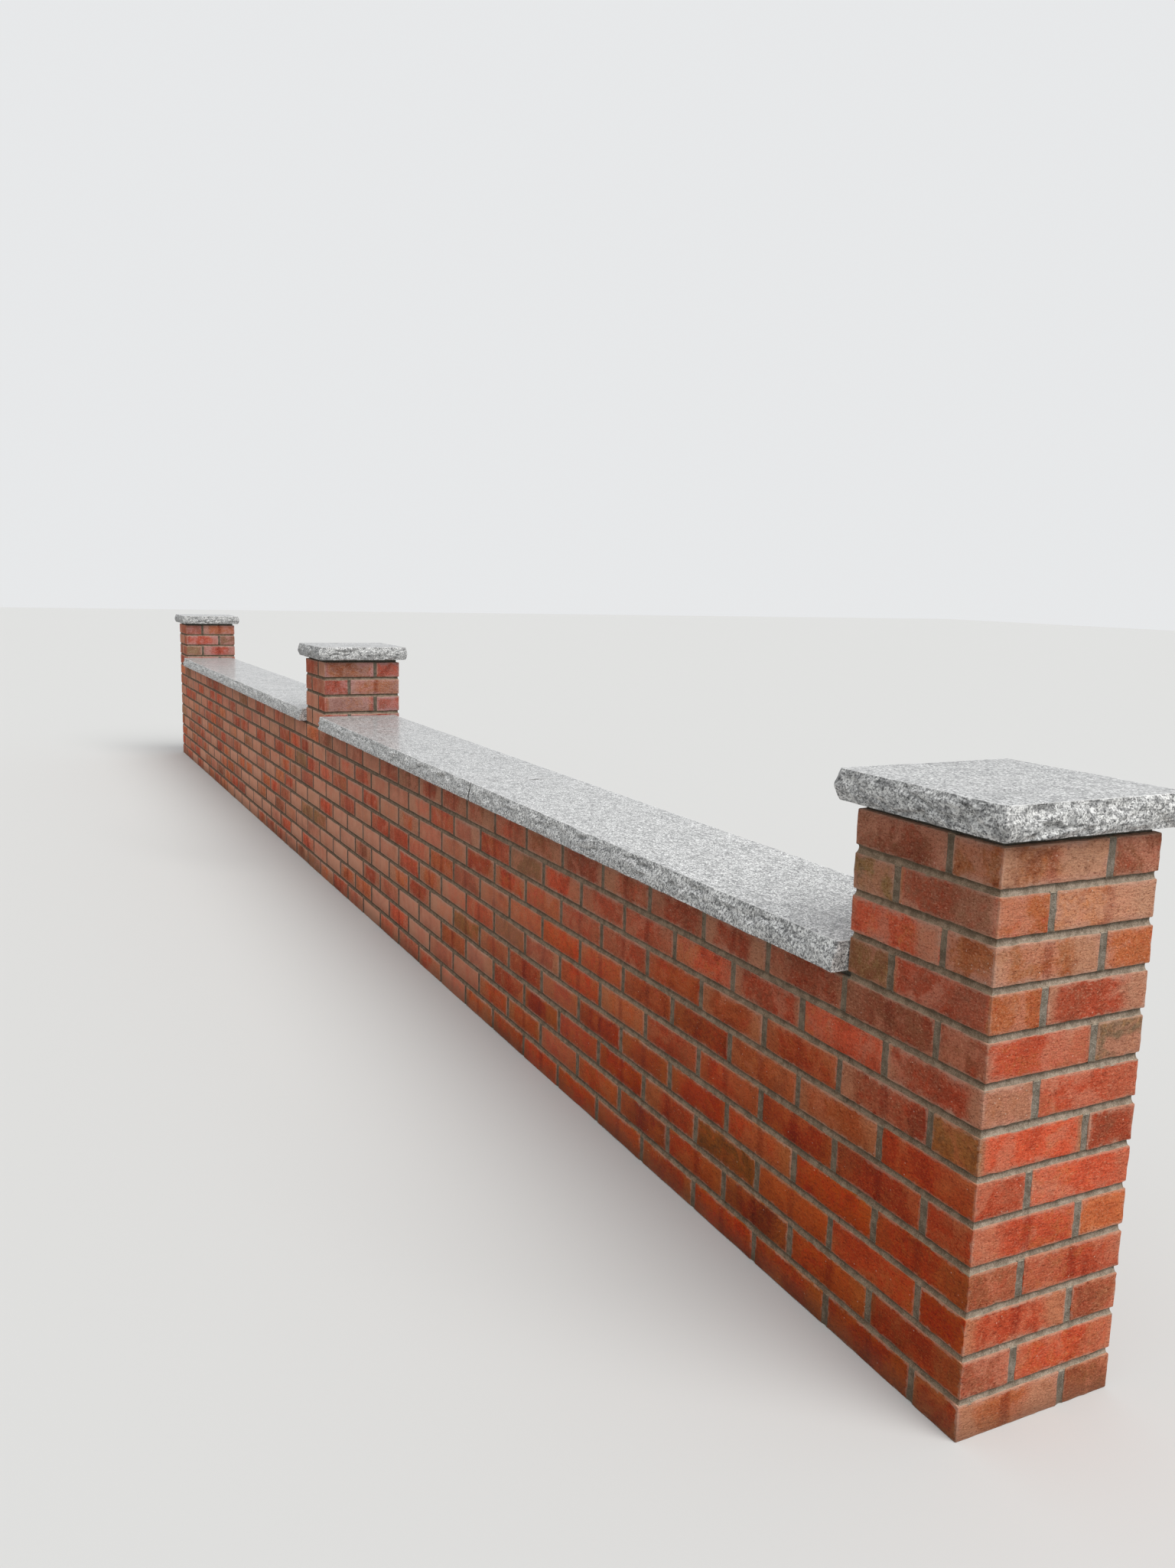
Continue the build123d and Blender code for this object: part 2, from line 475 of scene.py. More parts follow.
# Bricks from the top down: round the street corner, its head, the next one along the street, and
# the one at the garden corner.
pier_lots = {
    "near_pier": [
        ("tan", "orange", "dull", "dull"),
        ("dull", "orange", "ochre", "salmon"),
        ("tan", "orange", "bright", "orange"),
        ("red", "orange", "ochre", "red"),
        ("bright", "dull", "dull", "grey"),
        ("red", "salmon", "red", "bright"),
        ("bright", "ochre", "dull", "red"),
        ("bright", "red", "red", "bright"),
        ("bright", "bright", "red", "orange"),
        ("red", "dull", "red", "bright"),
        ("bright", "bright", "bright", "brown"),
        ("red", "dull", "red", "bright"),
        ("orange", "red", "red", "brown"),
    ],
    "middle_pier": [
        ("tan", "dull", "red", "dull"),
        ("red", "red", "dull", "tan"),
        ("salmon", "red", "red", "red"),
    ],
    "far_pier": [
        ("red", "dull", "red", "orange"),
        ("bright", "red", "red", "ochre"),
        ("dull", "ochre", "red", "bright"),
    ],
}


def any_tone(usual=0.61, spread=0.16, most=0.97):
    """A tone by chance: mostly reds, some salmon, a few dull or ochre ones."""
    if hand.random() < 0.05:
        return hand.uniform(0.08, 0.28)
    return min(most, max(0.32, hand.gauss(usual, spread)))


def bond_course(name, index):
    """The course whose bond this one has: the far pier's bond turns over where it rises free."""
    return index + (1 if name == "far_pier" and index >= wall_courses else 0)


def pinwheel(index):
    """The low corner in plan of each of a course's four bricks, and whether it lies across the wall.
    Distances run from the pier's street corner at the near end to the far end and to the garden."""
    header = brick_width + joint
    if index % 2 == 0:
        return [(0, 0, True), (header, 0, False), (module, header, True), (0, module, False)]
    return [(0, 0, False), (module, 0, True), (header, module, False), (0, header, True)]


def lay_pier(name, has_near_bay, has_far_bay):
    """A pier from the ground up; where a bay's brick comes in, a bat is laid behind it."""
    low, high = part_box(name + "_brickwork")
    whole, bat = (near_brick, near_bat) if name == "near_pier" else (pier_brick, pier_bat)
    bricks = []
    for index in range(pier_courses):
        level = index * course + brick_height / 2
        from_top = pier_courses - 1 - index
        for number, (along, over, turned) in enumerate(pinwheel(bond_course(name, index))):
            tone = any_tone()
            end_tone = tone + hand.uniform(-0.12, 0.12)
            if from_top < len(pier_lots[name]):
                corner, head, street, garden = pier_lots[name][from_top]
                word = (corner, street, "red", garden)[number]
                tone = tones[word] + hand.uniform(-0.03, 0.03)
                end_tone = tones[head] if number == 0 else tone
            has_bay = has_near_bay if number == 0 else has_far_bay
            if has_bay and index < wall_courses and number == index % 2:
                middle = (high.x - along - brick_width / 2, low.y + brick_width * 1.5 + joint, level)
                bricks.append(lay_brick(bat, middle, True, tone, tone))
                continue
            size = (brick_width, brick_length) if turned else (brick_length, brick_width)
            middle = (high.x - along - size[0] / 2, low.y + over + size[1] / 2, level)
            bricks.append(lay_brick(whole, middle, turned, tone, end_tone))
    pier = joined(name + "_bricks", bricks)
    roughen(pier, "CLOUDS", 0.020, 0.0020, noise_depth=2)
    roughen(pier, "CLOUDS", 0.007, 0.0014, noise_depth=1)
    stand_on_ground(pier)
    smooth_to(pier, 28)
    finish_with(pier, fired_clay)
    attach(pier, "root")
    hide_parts(name + "_brickwork")


for name in pier_names:
    lay_pier(name, name != "near_pier", name != "far_pier")

# Bay brickwork
# Two leaves of running bond to each bay. The street leaf's bricks run through into the piers every
# other course, and the garden leaf's butt against them with a half brick to make up the length.
bay_names = ["near_bay", "far_bay"]
bricks_a_course = 16


def lay_leaf(name, toothed):
    """A leaf from its near end; the first and last bricks of a toothed leaf stand in the piers."""
    low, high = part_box(name)
    pier_face = high.x - brick_width if toothed else high.x
    spread_of_tones = (0.61, 0.10, 0.78) if name == "near_bay_street_leaf" else (0.60, 0.20, 0.97)
    bricks = []
    for index in range(wall_courses):
        level = index * course + brick_height / 2
        edge = high.x if toothed and index % 2 == 1 else pier_face - joint
        for number in range(bricks_a_course):
            short = not toothed and number == (bricks_a_course - 1 if index % 2 == 0 else 0)
            pattern = wall_bat if short else wall_brick
            length = brick_width if short else brick_length
            tone = any_tone(*spread_of_tones)
            # The two top courses are duller, where water runs off the coping, and darker as painted shade
            # under its overhang.
            if index == wall_courses - 1:
                tone = min(tone, 0.60) * 0.74
            if index == wall_courses - 2:
                tone = min(tone, 0.72) * 0.90
            middle = (edge - length / 2, (low.y + high.y) / 2, level)
            bricks.append(lay_brick(pattern, middle, False, tone, tone))
            edge -= length + joint
    leaf = joined(name + "_bricks", bricks)
    roughen(leaf, "CLOUDS", 0.030, 0.0020, noise_depth=1)
    stand_on_ground(leaf)
    smooth_to(leaf, 50)
    finish_with(leaf, fired_clay)
    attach(leaf, "root")
    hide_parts(name)


for name in bay_names:
    lay_leaf(name + "_street_leaf", True)
    lay_leaf(name + "_garden_leaf", False)

for pattern in (near_brick, near_bat, pier_brick, pier_bat, wall_brick, wall_bat):
    bpy.data.objects.remove(pattern)

# Mortar between the bricks
# Olive-grey masonry mortar, pressed back with a rounded jointer while still soft, so each joint is
# hollow. One bed and one upright joint are shaped for each part of the wall and copied to the rest.
into_brick = 0.0014
tooled_edge = 0.0008
# Share of the way from the lower brick (-1) to the upper one (1), and how far the face lies back.
# The face of a bed joint is deepest under the upper brick; an upright joint is almost flush.
bed_profile = [
    (-1, 0.0018), (-0.6, 0.0030), (-0.2, 0.0038), (0.3, 0.0043), (0.7, 0.0042), (1, 0.0034)]
upright_profile = [
    (-1, 0.0010), (-0.62, 0.0018), (-0.2, 0.0023), (0.2, 0.0023), (0.62, 0.0018), (1, 0.0010)]
# The beds of the leaves are struck shallower than those of the piers.
leaf_share = 0.7
bed_border = 0.012
pier_joint_depth = 0.092
leaf_joint_depth = 0.03
# How far a street leaf's beds reach into the piers.
lap_in_pier = 0.014
# Blender divides an edge by no more cuts than this at once.
most_cuts = 100


def make_mortar(name, dark, light, soil_share=0.0, painted_light_and_stain_share=0.0):
    """Sandy mortar, clouded and specked, with a paler lip that looks up: dust with a painted
    highlight. Under the brick above lies painted shade with some dirt, the rest of a bed is painted
    lighter, and the upright joints and the joints further along are painted darker as shade, the
    upright ones with damp."""
    mortar, shader = new_finish(name)
    place = object_place(mortar)
    where = parts_of(mortar, place)
    along, level = where[0], where[2]
    shape = add_node(mortar, "NewGeometry", {}).outputs
    cloud = grain(mortar, place, 14, 3, 0.6)
    patch = grain(mortar, place, 70, 3, 0.65)
    sand = grain(mortar, place, 520, 2, 0.6)
    mix = scaled(mortar, between(mortar, patch, 0.36, 0.64), 0.55, times(mortar, cloud, 0.45))
    colour = tint(mortar, (*dark, 1), light, mix)
    colour = stain(mortar, colour, (0.48, 0.46, 0.38), between(mortar, sand, 0.60, 0.42), 0.62)
    colour = tint(mortar, colour, (0.46, 0.43, 0.36), specks(mortar, place, 330, 0.35, 0.15, 0.82), 0.5)
    # Painted highlight with dust: the lip that looks up is paler.
    looks_up_dust_and_highlight = between(mortar, parts_of(mortar, shape["Normal"])[2], 0.25, 0.75)
    colour = tint(mortar, colour, (0.42, 0.365, 0.28), looks_up_dust_and_highlight, scaled(mortar, patch, 1.2, 0.1), painted_light_and_stain_share)
    of_course = reckon(mortar, "FRACT", reckon(mortar, "DIVIDE", level, course))
    # Painted shade with some dirt under the brick above, and painted light on the rest of the bed.
    painted_shade_and_dirt = times(mortar, between(mortar, of_course, 0.885, 0.955), painted_light_and_stain_share)
    colour = stain(mortar, colour, (0.42, 0.39, 0.31), painted_shade_and_dirt, 0.85)
    painted_light_on_bed = between(mortar, of_course, 0.800, 0.820)
    colour = stain(mortar, colour, (1.42, 1.38, 1.34), painted_light_on_bed, reckon(mortar, "SUBTRACT", painted_light_and_stain_share, painted_shade_and_dirt))
    # Painted shade with damp: the upright joints are darker.
    upright_shade_and_damp = between(mortar, of_course, 0.820, 0.800)
    colour = stain(mortar, colour, (0.80, 0.86, 0.88), upright_shade_and_damp, painted_light_and_stain_share)
    street = between(mortar, parts_of(mortar, shape["True Normal"])[1], -0.3, -0.8)
    colour = stain(mortar, colour, (0.93, 0.76, 0.58), street, painted_light_and_stain_share)
    # Painted shade: the joints are darker further along the wall.
    colour = stain(mortar, colour, (0.48, 0.43, 0.38), between(mortar, along, 3.2, 0.3), painted_light_and_stain_share)
    colour = tint(mortar, colour, (0.12, 0.085, 0.055), between(mortar, level, 0.05, 0.0), soil_share)
    bump = dents(mortar, sand, 0.0011)
    bump = dents(mortar, grain(mortar, place, 130, 2), 0.0016, bump)
    finish_off(mortar, shader, colour, scaled(mortar, cloud, 0.2, 0.76), bump)
    shader.inputs["Specular IOR Level"].default_value = 0.2
    return mortar


tooled_mortar = make_mortar("tooled_mortar", (0.138, 0.108, 0.080), (0.370, 0.305, 0.250),
                            soil_share=0.5, painted_light_and_stain_share=0.6)


def meets(one, other):
    """Whether two measures in metres are the same but for rounding."""
    return abs(one - other) < 1e-5


def lies_flat(corners):
    return all(meets(corner.z, corners[0].z) for corner in corners)


def share_edges(piece, axis, cuts):
    """In edit mode, divides every edge that runs along one axis."""

    def runs_along(ends):
        return abs(ends[0][axis] - ends[1][axis]) > (ends[0] - ends[1]).length * 0.99

    pick(piece, "EDGE", runs_along)
    bpy.ops.mesh.subdivide(number_cuts=min(cuts, most_cuts))


def pier_bed(name, low, high, level, cuts):
    """One bed joint of a pier, tooled on its four sides, over the bed joint's full plan."""
    middle = (low + high) / 2
    thick = joint / 2 + into_brick
    bed = start_block(name, (low.x + tooled_edge, low.y + tooled_edge, level - thick),
                      (high.x - tooled_edge, high.y - tooled_edge, level + thick))
    bpy.ops.object.mode_set(mode="EDIT")
    pick(bed, "FACE", lies_flat)
    bpy.ops.mesh.inset(thickness=bed_border, use_individual=True)
    share_edges(bed, 0, cuts)
    share_edges(bed, 1, cuts)
    levels = [level + share * joint / 2 for share, _ in bed_profile]
    cut_across(bed, 2, levels)
    for cut, (_, back) in zip(levels, bed_profile):
        back -= tooled_edge
        half_width = pier_width / 2 - tooled_edge
        scale = (half_width - back) / half_width
        pick(bed, "VERT", lambda spot: meets(spot[0].z, cut))
        bpy.ops.transform.resize(value=(scale, scale, 1), center_override=(middle.x, middle.y, cut))
    bpy.ops.object.mode_set(mode="OBJECT")
    return bed


def tool_face(piece, axis, middle, profile, depth_share, face, inward):
    """In edit mode, cuts a joint across at a profile's places, and presses its face back there."""
    places = [middle + share * joint / 2 for share, _ in profile]
    cut_across(piece, axis, places)
    for place, (_, back) in zip(places, profile):
        pick(piece, "VERT", lambda spot: meets(spot[0][axis], place) and meets(spot[0].y, face))
        bpy.ops.transform.translate(value=(0, inward * (back * depth_share - tooled_edge), 0))


def upright(name, middle_x, face_y, inward, foot, depth, cuts):
    """One upright joint on a face square to Y; inward is 1 where the face looks to the street."""
    half = joint / 2 + into_brick
    face = face_y + inward * tooled_edge
    back = face_y + inward * depth
    post = start_block(name, (middle_x - half, min(face, back), foot - into_brick),
                       (middle_x + half, max(face, back), foot + brick_height + into_brick))
    bpy.ops.object.mode_set(mode="EDIT")
    share_edges(post, 2, cuts)
    tool_face(post, 0, middle_x, upright_profile, 1, face, inward)
    bpy.ops.object.mode_set(mode="OBJECT")
    return post


def copied(pattern, matrix):
    """A copy of a piece with its own mesh, moved in its mesh."""
    copy = pattern.copy()
    copy.data = pattern.data.copy()
    copy.data.transform(matrix)
    bpy.context.collection.objects.link(copy)
    return copy


def joined_mortar(name, joints):
    """Makes one sandy piece of all the joints on one part of the wall."""
    mortar = joined(name + "_mortar", joints)
    roughen(mortar, "CLOUDS", 0.012, 0.0011, noise_depth=1)
    stand_on_ground(mortar)
    smooth_to(mortar, 40)
    finish_with(mortar, tooled_mortar)
    return mortar


def point_pier(name):
    """Fills a pier's joints: beds all through it, and four uprights a course, one to each face."""
    low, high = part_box(name + "_brickwork")
    centre = (low + high) / 2
    bed_cuts, upright_cuts = (15, 3) if name == "near_pier" else (9, 2)
    first_bed = pier_bed(name + "_joint", low, high, brick_height + joint / 2, bed_cuts)
    pieces = [first_bed]
    for index in range(1, pier_courses - 1):
        pieces.append(copied(first_bed, Matrix.Translation((0, 0, index * course))))
    off_centre = pier_width / 2 - brick_width - joint / 2
    for index in range(pier_courses):
        side = off_centre if bond_course(name, index) % 2 == 0 else -off_centre
        post = upright(
            name + "_joint", centre.x + side, low.y, 1, index * course, pier_joint_depth, upright_cuts)
        pieces.append(post)
        for quarter in (1, 2, 3):
            turn = Matrix.Rotation(-quarter * math.pi / 2, 4, "Z")
            there = Matrix.Translation((centre.x, centre.y, 0))
            pieces.append(copied(post, there @ turn @ there.inverted()))
    mortar = joined_mortar(name, pieces)
    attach(mortar, "root")
    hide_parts(name + "_brickwork")


for name in pier_names:
    point_pier(name)


def leaf_bed(name, x0, x1, y0, y1, level, street, cuts):
    """One bed joint of a leaf, tooled on the side that shows."""
    thick = joint / 2 + into_brick
    face = y0 + tooled_edge if street else y1 - tooled_edge
    low = (x0, face if street else y0, level - thick)
    high = (x1, y1 if street else face, level + thick)
    bed = start_block(name, low, high)
    bpy.ops.object.mode_set(mode="EDIT")
    share_edges(bed, 0, cuts)
    tool_face(bed, 2, level, bed_profile, leaf_share, face, 1 if street else -1)
    bpy.ops.object.mode_set(mode="OBJECT")
    return bed


def point_leaf(name, toothed):
    """Fills the joints of a leaf on the side that shows, which is the street side if it's toothed."""
    low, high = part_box(name)
    in_pier = brick_width if toothed else 0
    lap = lap_in_pier if toothed else 0
    x0 = low.x + in_pier
    x1 = high.x - in_pier
    bed = leaf_bed(
        name + "_joint", x0 - lap, x1 + lap, low.y, high.y, brick_height + joint / 2, toothed, most_cuts)
    pieces = [bed]
    for index in range(1, wall_courses - 1):
        pieces.append(copied(bed, Matrix.Translation((0, 0, index * course))))
    face_y, inward = (low.y, 1) if toothed else (high.y, -1)
    first = upright(name + "_joint", x1 - joint / 2, face_y, inward, 0, leaf_joint_depth, 1)
    for index in range(wall_courses):
        even = index % 2 == 0
        start = 0 if even else brick_width + joint
        places = [start + module * number for number in range(bricks_a_course)]
        if not toothed:
            places.append(x1 - x0 - joint if even else 0)
        for place in sorted(places):
            pieces.append(copied(first, Matrix.Translation((-place, 0, index * course))))
    bpy.data.objects.remove(first)
    mortar = joined_mortar(name, pieces)
    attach(mortar, "root")
    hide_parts(name)


for name in bay_names:
    point_leaf(name + "_street_leaf", True)
    point_leaf(name + "_garden_leaf", False)

# Grout
# Poured grout fills the piers' cores and the cavity between the leaves. It is hidden once the beds
# are on, and keeps the shape of the cavity that it was poured into.
poured_grout = make_mortar("poured_grout", (0.17, 0.16, 0.14), (0.26, 0.25, 0.22), soil_share=0.3)
for name in [pier + "_core" for pier in pier_names] + [bay + "_grout" for bay in bay_names]:
    finish_with(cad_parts[name], poured_grout)

# Beds under the stones
# A raked bed of mortar carries each cap and coping stone. It lies back from the brick faces and
# stays dark under the overhang.
bed_mortar = make_mortar("bed_mortar", (0.090, 0.082, 0.066), (0.150, 0.138, 0.112))


def rake_bed(node, cuts):
    """A bed of the node's own size, its sides pressed back unevenly; cuts are along X, Y and Z."""
    low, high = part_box(node)
    bed = start_block(node + "_mortar", low, high)
    bpy.ops.object.mode_set(mode="EDIT")
    pick(bed, "FACE", lies_flat)
    bpy.ops.mesh.inset(thickness=bed_border, use_individual=True)
    for axis in range(3):
        share_edges(bed, axis, cuts[axis])
    bpy.ops.object.mode_set(mode="OBJECT")
    roughen(bed, "CLOUDS", 0.016, 0.003, level=1.0, noise_depth=2)
    smooth_to(bed, 40)
    finish_with(bed, bed_mortar)
    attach(bed, "root")
    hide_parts(node)


for name in bay_names:
    rake_bed(name + "_coping_bed", (most_cuts, 6, 3))
for name in pier_names:
    rake_bed(name + "_cap_bed", (24, 24, 3))

# Granite coping and caps
# Grey biotite granite. Tops, beds and coping ends are sawn; the long sides of the coping and all
# four sides of a cap are rock-pitched: struck off from the top line with a pitching chisel.
granite_border = 0.012
crack_spacing = 0.23
sharp_corner = 0.004
facet_size = 0.034
chip_size = 0.014
crumb_size = 0.005
crumb_depth = 0.0018
seam_depth = 0.0048
# How far from a cap's corners, a coping's long edges and a joint the chisel bites less, and how far
# from the corners no seam opens.
corner_reach = 0.07
end_reach = 0.04
joint_reach = 0.03
seam_reach = 0.05
# Where up the stone the sides swell out most, and how far back their top and foot lie.
coping_strike = (0.20, 0.010, 0.002)
cap_strike = (0.50, 0.007, 0.007)
black_mica = (0.10, 0.101, 0.103)


def make_granite(name, crystals, pepper, blotched, clumped, ledge_shade_share, weathered, rough, wet, relief):
    """Salt and pepper granite: pale feldspar and quartz with black mica, sawn or broken. Along its
    top line the stone is bruised to a thin white edge, and painted shade lies in dark streaks along
    the ledges of a broken face."""
    granite, shader = new_finish(name)
    place = object_place(granite)
    bend = add_node(granite, "TexNoise", {"Vector": place, "Scale": 140, "Detail": 2}).outputs["Color"]
    bent = reckon_places(granite, "MULTIPLY_ADD", bend, (0.004, 0.004, 0.004), place)
    lot = crystals_of(granite, bent, 350, 0)[1]
    dark = reckon(granite, "LESS_THAN", crystals_of(granite, bent, 540, 1)[1], pepper)
    colour = tint(granite, shades(granite, lot, crystals), black_mica, dark, 0.8)
    cloud = grain(granite, place, 9, 3, 0.6)
    colour = stain(granite, colour, (0.72, 0.74, 0.76), between(granite, cloud, 0.35, 0.7), 0.22)
    blotch = between(granite, grain(granite, place, 60, 3, 0.65), 0.52, 0.40)
    colour = stain(granite, colour, (0.24, 0.243, 0.248), blotch, blotched)
    clump = between(granite, grain(granite, place, 190, 3, 0.7), 0.50, 0.42)
    colour = stain(granite, colour, (0.26, 0.263, 0.268), clump, clumped)
    # Painted shade: dark streaks along the ledges of a broken face.
    ledge_shade_streak = grain(granite, stretched(granite, place, (32, 32, 150)), 1, 3, 0.6, 1.2)
    colour = stain(granite, colour, (0.34, 0.343, 0.348), between(granite, ledge_shade_streak, 0.46, 0.38), ledge_shade_share)
    far_down = between(granite, parts_of(granite, place)[0], 3.4, 0.3)
    colour = stain(granite, colour, (0.55, 0.56, 0.58), far_down, weathered)
    bruise = swing(granite, grain(granite, place, 160), 0.9, stored(granite, "top_line", "Fac"))
    colour = tint(granite, colour, (0.86, 0.86, 0.85), between(granite, bruise, 0.50, 0.85), 0.75)
    roughness = scaled(granite, between(granite, cloud, 0.3, 0.7), 0.14, rough)
    bump = dents(granite, lot, relief)
    bump = dents(granite, grain(granite, place, 600, 2), relief, bump)
    finish_off(granite, shader, colour, roughness, bump)
    shader.inputs["Coat Weight"].default_value = wet
    shader.inputs["Coat Roughness"].default_value = 0.13
    return granite


def lit(crystals, share):
    """The same crystals, all paler or darker by a share."""
    return [(place, tuple(value * share for value in colour)) for place, colour in crystals]


sawn_crystals = [
    (0.00, (0.18, 0.181, 0.182)),
    (0.14, (0.42, 0.421, 0.419)),
    (0.38, (0.68, 0.68, 0.673)),
    (0.72, (0.82, 0.82, 0.81)),
    (1.00, (0.93, 0.93, 0.915)),
]
broken_crystals = [
    (0.00, (0.34, 0.341, 0.340)),
    (0.20, (0.60, 0.600, 0.596)),
    (0.45, (0.89, 0.89, 0.875)),
    (0.75, (0.96, 0.96, 0.94)),
    (1.00, (0.98, 0.98, 0.955)),
]
# The rain stands on the sawn tops; the broken sides are dry and coarse.
sawn = {"ledge_shade_share": 0.0, "rough": 0.34, "wet": 0.30, "relief": 0.00010}
broken = {"rough": 0.60, "wet": 0.0, "relief": 0.0009}
coping_top = make_granite("sawn_coping_granite", lit(sawn_crystals, 1.05), pepper=0.14,
                          blotched=0.48, clumped=0.84, weathered=0.32, **sawn)
coping_side = make_granite("broken_coping_granite", broken_crystals, pepper=0.10,
                           blotched=0.40, clumped=0.86, ledge_shade_share=0.0, weathered=0.0, **broken)
cap_top = make_granite("sawn_cap_granite", lit(sawn_crystals, 0.87), pepper=0.13,
                       blotched=0.42, clumped=0.76, weathered=0.28, **sawn)
cap_side = make_granite("broken_cap_granite", lit(broken_crystals, 0.86), pepper=0.12,
                        blotched=0.52, clumped=0.62, ledge_shade_share=0.70, weathered=0.12, **broken)


def struck_back(share, swell, top_back, foot_back):
    """How far a struck face lies behind its swell, at a share of the way up the stone."""
    if share > swell:
        return top_back * ((share - swell) / (1 - swell)) ** 1.3
    return foot_back * (1 - share / swell) ** 2


def chisel_bite(spot, low, high, axis, face, ends_pitched, butted):
    """How freely the chisel bites at a spot of one side, and how far that is from a corner. It bites
    less by the top line, at the foot and at the stone's corners, and hardly by a butted end."""
    share = (spot.z - low.z) / (high.z - low.z)
    other = 1 - axis
    from_corner = min(spot[other] - low[other], high[other] - spot[other])
    bite = min(1.0, 1.5 - abs(face - spot[axis]) / granite_border)
    if axis == 0 and not ends_pitched:
        bite *= 1 - from_corner / end_reach
    bite *= 1 - 0.80 * max(0.0, share - 0.72) / 0.28
    bite *= 0.3 + 0.7 * min(1.0, share / 0.25)
    if ends_pitched:
        bite *= 0.15 + 0.85 * min(1.0, max(0.0, from_corner / corner_reach)) ** 1.5
    if butted:
        from_joint = abs(spot.x - (low.x if butted == "far" else high.x))
        bite *= 0.10 + 0.90 * min(1.0, from_joint / joint_reach)
    return bite, from_corner


def texture_frame(scale, turn):
    """An empty at a place by chance, which stretches and turns a texture."""
    bpy.ops.object.empty_add(location=(hand.uniform(0, 1), hand.uniform(0, 1), hand.uniform(0, 1)))
    empty = bpy.context.object
    empty.scale = scale
    empty.rotation_euler = turn
    return empty


def pitch_stone(node, name, cell, ends_pitched, corner, swell, top_back, foot_back, finishes, butted=""):
    """A sawn slab whose sides are struck off: each swells out below its top line in facets and
    ledges, and is broken back again at the foot. The node's box is its full size. The end that is
    butted against another stone keeps its sharp sawn corners."""
    low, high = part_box(node)
    centre = (low + high) / 2
    length, width, height = high - low
    stone = start_block(name, low, high)

    def inward(spot):
        return min(spot.x - low.x, high.x - spot.x, spot.y - low.y, high.y - spot.y)

    bpy.ops.object.mode_set(mode="EDIT")
    pick(stone, "FACE", lies_flat)
    bpy.ops.mesh.inset(thickness=granite_border, use_individual=True)
    pick(stone, "FACE", lambda corners: lies_flat(corners) and min(map(inward, corners)) > 0.001)
    bpy.ops.mesh.delete(type="ONLY_FACE")
    for end, away in (("far", -1), ("near", 1)):
        pick(stone, "EDGE", lambda ends: abs(ends[0].z - ends[1].z) > height * 0.9
             and (ends[0].x - centre.x) * away > 0)
        offset = sharp_corner if end == butted else corner
        bpy.ops.mesh.bevel(offset=offset, segments=4, affect="EDGES")
    share_edges(stone, 0, round(length / cell))
    share_edges(stone, 1, round(width / cell))
    rows = round(height / cell)
    share_edges(stone, 2, rows)
    pick(stone, "EDGE", lambda ends: abs(inward(ends[0]) - inward(ends[1])) > granite_border * 0.5)
    bpy.ops.mesh.subdivide(number_cuts=2)
    bpy.ops.mesh.select_all(action="SELECT")
    bpy.ops.mesh.fill_holes(sides=0)
    bpy.ops.object.mode_set(mode="OBJECT")
    top_line = stone.data.attributes.new("top_line", "FLOAT", "POINT")
    for spot in stone.data.vertices:
        on_edge = inward(spot.co) < 0.0001 and high.z - spot.co.z < 0.0001
        top_line.data[spot.index].value = 1.0 if on_edge else 0.0
    bpy.ops.object.mode_set(mode="EDIT")

    for row in range(rows + 2):
        level = low.z + height * row / (rows + 1)
        back = struck_back(row / (rows + 1), swell, top_back, foot_back)
        across = (width / 2 - back) / (width / 2)
        along = (length / 2 - back) / (length / 2) if ends_pitched else 1
        pick(stone, "VERT", lambda spot: meets(spot[0].z, level))
        bpy.ops.transform.resize(value=(along, across, 1), center_override=(centre.x, centre.y, level))
    bpy.ops.object.mode_set(mode="OBJECT")

    sides = {
        "street": (1, -1, low.y),
        "garden": (1, 1, high.y),
        "near": (0, 1, high.x),
        "far": (0, -1, low.x),
    }
    for side, (axis, _, face) in sides.items():
        group = stone.vertex_groups.new(name=side)
        cracked = stone.vertex_groups.new(name=side + "_cracked")
        turn = hand.uniform(0, 6)
        for spot in stone.data.vertices:
            bite, from_corner = chisel_bite(spot.co, low, high, axis, face, ends_pitched, butted)
            if bite > 0 and side != butted:
                group.add([spot.index], bite, "REPLACE")
                patch = math.sin(spot.co[1 - axis] / crack_spacing * 2 * math.pi + turn)
                bite *= min(1.0, from_corner / seam_reach) * min(1.0, max(0.0, 0.3 + patch))
                cracked.add([spot.index], bite, "REPLACE")
    lie = texture_frame((1.9, 1.9, 0.8), (0.35, 0.20, 0.50))
    seam = texture_frame((2.6, 2.6, 0.7), (0.10, -0.12, 0))
    facet_depth, chip_depth = (0.0095, 0.0046) if ends_pitched else (0.0070, 0.0036)
    planes = {"distance_metric": "MANHATTAN", "noise_intensity": 1.0, "contrast": 1.3}
    veins = {"weight_1": -1.0, "weight_2": 1.0, "noise_intensity": 4.0, "contrast": 3.0, "intensity": 2.0}
    for side, (axis, sign, _) in sides.items():
        # Facets, chips, crumbs, and then the open seams.
        strike = {"group": side, "along": "XY"[axis], "frame_of": lie}
        roughen(stone, "VORONOI", facet_size, sign * facet_depth, level=0.9, **planes, **strike)
        roughen(stone, "VORONOI", chip_size, sign * chip_depth, level=0.8, **planes, **strike)
        roughen(stone, "CLOUDS", crumb_size, sign * crumb_depth, level=0.6, noise_depth=2, **strike)
        strike.update(frame_of=seam, group=side + "_cracked")
        roughen(stone, "VORONOI", facet_size, sign * seam_depth, level=1.0, **veins, **strike)
    bpy.data.objects.remove(lie)
    bpy.data.objects.remove(seam)
    for spot in stone.data.vertices:
        spot.co = [min(max(place, least), most) for place, least, most in zip(spot.co, low, high)]

    for finish in finishes:
        stone.data.materials.append(finish)
    for face in stone.data.polygons:
        face.material_index = 0 if face.normal.z > 0.75 and face.center.z > high.z - 0.004 else 1
    smooth_to(stone, 32)
    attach(stone, "root")
    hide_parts(node)


